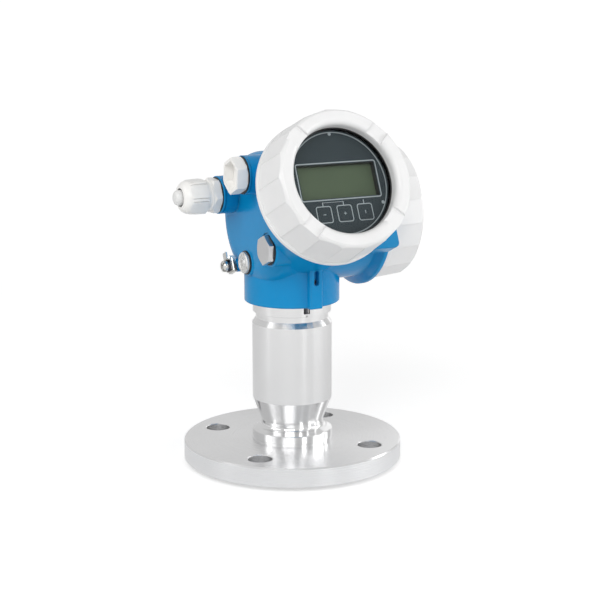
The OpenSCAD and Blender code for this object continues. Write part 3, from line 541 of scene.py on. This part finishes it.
def ribbed_nut():
    """The gland's nut: flats and ribs under a dome, with a mouth for the blanking piece."""
    lip = MOUTH_R + 1
    dome = [(lip + (NUT_R - lip) * math.cos(math.radians(t)),
             NUT_FLATS + (NUT_END - NUT_FLATS) * math.sin(math.radians(t)))
            for t in range(0, 91, 9)]
    mouth = MOUTH_R + 0.1
    return lathe([(NUT_BORE, NUT_BASE), (NUT_R - NUT_EDGE, NUT_BASE), (NUT_R, NUT_BASE + NUT_EDGE)]
                 + dome + [(mouth, NUT_END), (mouth, NUT_END - MOUTH_DEPTH),
                           (NUT_BORE, NUT_END - MOUTH_DEPTH - MOUTH_CONE)], nut_limit)


def stepped_body():
    """The gland's body: shank, hexagon, two steps and the thread's sleeve."""
    return lathe([(BODY_BORE, SHANK_FROM), (SHANK_R, SHANK_FROM), (SHANK_R, HEX_FROM),
                  (HEX_R - 0.7, HEX_FROM), (HEX_R, HEX_FROM + 0.8), (HEX_R, HEX_TO),
                  (HEX_R - 1, HEX_TO + 0.6), (STEP_R, HEX_TO + 0.6), (STEP_R, STEP_TO),
                  (SLEEVE_R, STEP_TO + 0.5), (SLEEVE_R, SLEEVE_TO), (THREAD_R, SLEEVE_TO),
                  (THREAD_R, THREAD_TO), (BODY_BORE, THREAD_TO)], body_limit)


def boss_end(end, bore, edge_w, edge_h, lip):
    """A thin skin over a boss, with a lip of its own across the boss's end."""
    inner = BOSS_R - BOSS_SKIN
    return lathe([(BOSS_R, BOSS_FROM), (BOSS_R, end - edge_h), (BOSS_R - edge_w, end), (bore, end),
                  (bore, end - lip), (inner, end - lip), (inner, BOSS_FROM)])


def gasket():
    """The flat ring between the boss's end and the gland's hexagon."""
    return lathe([(GLAND_BORE, GLAND_BOSS), (GASKET_R, GLAND_BOSS),
                  (GASKET_R, GLAND_BOSS + GASKET_T), (GLAND_BORE, GLAND_BOSS + GASKET_T)])


gland_m, blind_m = entry_matrix(*GLAND_AT), entry_matrix(*BLIND_AT)
ride_piece("ribbed_nut", [ribbed_nut()], grey_plastic, gland_m, "gland_nut", "light_plastic",
           "gland_cap_nut")
ride_piece("stepped_gland_body", [stepped_body()], grey_plastic, gland_m, "head", "light_plastic",
           "gland_body")
ride_piece("gland_boss_end", [boss_end(GLAND_BOSS, GLAND_BORE, 0.32, 0.4, 1.25)], blue, gland_m,
           "head", "blue_paint")
ride_piece("gland_gasket", [gasket()], rubber, gland_m, "head", "black_rubber")
ride_piece("blind_boss_end", [boss_end(BLIND_BOSS, BLIND_BORE, 0.22, 0.25, 0.8)], blue, blind_m,
           "head", "blue_paint")


# ------------------------------------------------------------------ the covers' grips
RIB_W, RIB_RISE, RIB_SINK, RIB_TAPER = 1.3, 0.28, 0.6, 0.2
GRIP_R, NOSE_R, GRIP_FROM, NOSE_BACK, RIB_SHORT = 52.8, 50.9, 4.0, 3.0, 0.2
GRIP_COUNT, GRIP_START = 18, 15


def grip_ribs(name, matrix, low, high, body):
    """Thin ribs along the corners between a cover's grip flats."""
    verts, faces = [], []
    for k in range(GRIP_COUNT):
        a = math.radians(GRIP_START + k * 360 / GRIP_COUNT)
        out = Vector((math.cos(a), math.sin(a), 0))
        side = Vector((-math.sin(a), math.cos(a), 0))
        base = len(verts)
        for r, z in ((GRIP_R, low + GRIP_FROM + RIB_SHORT), (NOSE_R, high - NOSE_BACK - RIB_SHORT)):
            for rise, half in ((-RIB_SINK, RIB_W / 2), (RIB_RISE, RIB_W / 2 - RIB_TAPER)):
                for s in (-1, 1):
                    verts.append(out * (r + rise) + side * (half * s) + Vector((0, 0, z)))
        faces += [tuple(base + i for i in f) for f in
                  ((0, 1, 3, 2), (4, 6, 7, 5), (0, 4, 5, 1), (2, 3, 7, 6), (0, 2, 6, 4),
                   (1, 5, 7, 3))]
    ride_piece(name, [(verts, faces)], white, matrix, body, "white_paint")


side_m = (Matrix.Translation(HEAD) @ Matrix(((0, 0, 1), (0, 1, 0), (-1, 0, 0))).to_4x4()
          @ Matrix.Scale(0.001, 4))
grip_ribs("window_cover_ribs", display_matrix(), *reach("display_cover", N), "window_cover")
grip_ribs("blank_cover_ribs", side_m, *reach("terminal_cover", M), "blank_cover")


# ------------------------------------------------------------------ floor and world
FLOOR_R = 60.0                                        # metres
FLOOR_LIFT_NEAR, FLOOR_LIFT_FAR = 0.43, 0.72          # how much the floor glows to look white
LIFT_FROM, LIFT_TO = 0.25, 2.2                        # metres from the object's axis
FLOOR_MIRRORED, WORLD_MIRRORED = 0.40, 0.52           # how much of each shows in mirrorings
AMBIENT = 0.40                                        # the world's light on the object


def seen_directly(nt, mirrored):
    """1 for camera and transmission rays, a lesser share for glossy ones, else 0."""
    path = nt.nodes.new("ShaderNodeLightPath")
    seen = math_node(nt, "MAXIMUM", path.outputs["Is Camera Ray"],
                     path.outputs["Is Transmission Ray"])
    return math_node(nt, "MAXIMUM", seen,
                     math_node(nt, "MULTIPLY", path.outputs["Is Glossy Ray"], mirrored))


def floor_material():
    """A matt pale floor that looks white where no shadow falls on it."""
    mat, nt, bsdf = new_material("pale floor")
    link(nt, ramp(nt, noise(nt, place(nt), 3, 2), [(0.3, 0.79), (0.7, 0.81)]),
         bsdf.inputs["Base Color"])
    bsdf.inputs["Roughness"].default_value = 0.7
    bsdf.inputs["Specular IOR Level"].default_value = 0.1
    lift = to_range(nt, radius_from(nt), FLOOR_LIFT_NEAR, FLOOR_LIFT_FAR, LIFT_FROM, LIFT_TO)
    bsdf.inputs["Emission Color"].default_value = (1, 1, 1, 1)
    link(nt, math_node(nt, "MULTIPLY", lift, seen_directly(nt, FLOOR_MIRRORED)),
         bsdf.inputs["Emission Strength"])
    return mat


def white_world():
    """White where it is seen, and dimmer as a light."""
    world = bpy.data.worlds.new("studio")
    world.use_nodes = True
    nt = world.node_tree
    nt.nodes.clear()
    background = nt.nodes.new("ShaderNodeBackground")
    background.inputs["Color"].default_value = (1, 1, 1, 1)
    link(nt, to_range(nt, seen_directly(nt, WORLD_MIRRORED), AMBIENT, 1.0),
         background.inputs["Strength"])
    link(nt, background.outputs["Background"],
         nt.nodes.new("ShaderNodeOutputWorld").inputs["Surface"])
    return world


corners = [(-FLOOR_R, -FLOOR_R, 0), (FLOOR_R, -FLOOR_R, 0), (FLOOR_R, FLOOR_R, 0),
           (-FLOOR_R, FLOOR_R, 0)]
mesh_object("floor", corners, [(0, 1, 2, 3)], floor_material())
bpy.context.scene.world = white_world()

# ------------------------------------------------------------------ lamps
# Soft lamps: name, where it stands, what it points at, width, height (metres), watts.
SOFT_LAMPS = (
    ("front light", (-0.78, -1.0, 1.05), (0, 0, 0.16), 0.9, 0.7, 8.6),
    ("right light", (1.35, -0.85, 0.36), (0, 0, 0.14), 0.9, 0.6, 5.6),
    ("left light", (-1.25, 0.1, 0.75), (0, 0, 0.2), 0.9, 1.0, 2.7),
)
# Upright strips that the turned steel mirrors: degrees round from the front, width, watts.
STRIP_LAMPS = ((-98, 0.3, 2.2), (8, 0.3, 3.0), (40, 0.16, 1.5), (88, 0.3, 3.0), (132, 0.7, 1.1))
STRIP_AWAY, STRIP_Z, STRIP_TALL = 1.5, 0.62, 1.2


def lamp(name, stands, target, width, height, power):
    """A rectangular area lamp that points at its target."""
    data = bpy.data.lights.new(name, "AREA")
    data.shape = "RECTANGLE"
    data.size, data.size_y = width, height
    data.energy = power
    o = bpy.data.objects.new(name, data)
    o.location = stands
    o.rotation_mode = "QUATERNION"
    o.rotation_quaternion = (Vector(target) - Vector(stands)).to_track_quat("-Z", "Y")
    bpy.context.scene.collection.objects.link(o)


for soft_lamp in SOFT_LAMPS:
    lamp(*soft_lamp)
for k, (turn, width, power) in enumerate(STRIP_LAMPS):
    t = math.radians(turn)
    lamp("strip light %d" % k, (STRIP_AWAY * math.sin(t), -STRIP_AWAY * math.cos(t), STRIP_Z),
         (0, 0, STRIP_Z), width, STRIP_TALL, power)

# ------------------------------------------------------------------ camera
AZIMUTH = math.radians(-26.9)
DISTANCE, HEIGHT = 1.167, 0.372                       # metres from the object's axis and floor
HEADING = AZIMUTH - math.radians(0.30)
PITCH, ROLL = math.radians(12.0), math.radians(0.14)
LENS, SENSOR = 95.2, 36                               # millimetres

cam_data = bpy.data.cameras.new("camera")
cam_data.lens, cam_data.sensor_width = LENS, SENSOR
cam_data.clip_start, cam_data.clip_end = 0.05, 20     # metres
cam = bpy.data.objects.new("camera", cam_data)
bpy.context.scene.collection.objects.link(cam)
cam.location = (math.sin(AZIMUTH) * DISTANCE, -math.cos(AZIMUTH) * DISTANCE, HEIGHT)
forward = Vector((-math.sin(HEADING) * math.cos(PITCH), math.cos(HEADING) * math.cos(PITCH),
                  -math.sin(PITCH)))
cam.rotation_mode = "QUATERNION"
cam.rotation_quaternion = (forward.to_track_quat("-Z", "Y")
                           @ Matrix.Rotation(-ROLL, 3, "Z").to_quaternion())
bpy.context.scene.camera = cam
bpy.context.scene.view_settings.view_transform = "Standard"

bpy.context.view_layer.update()
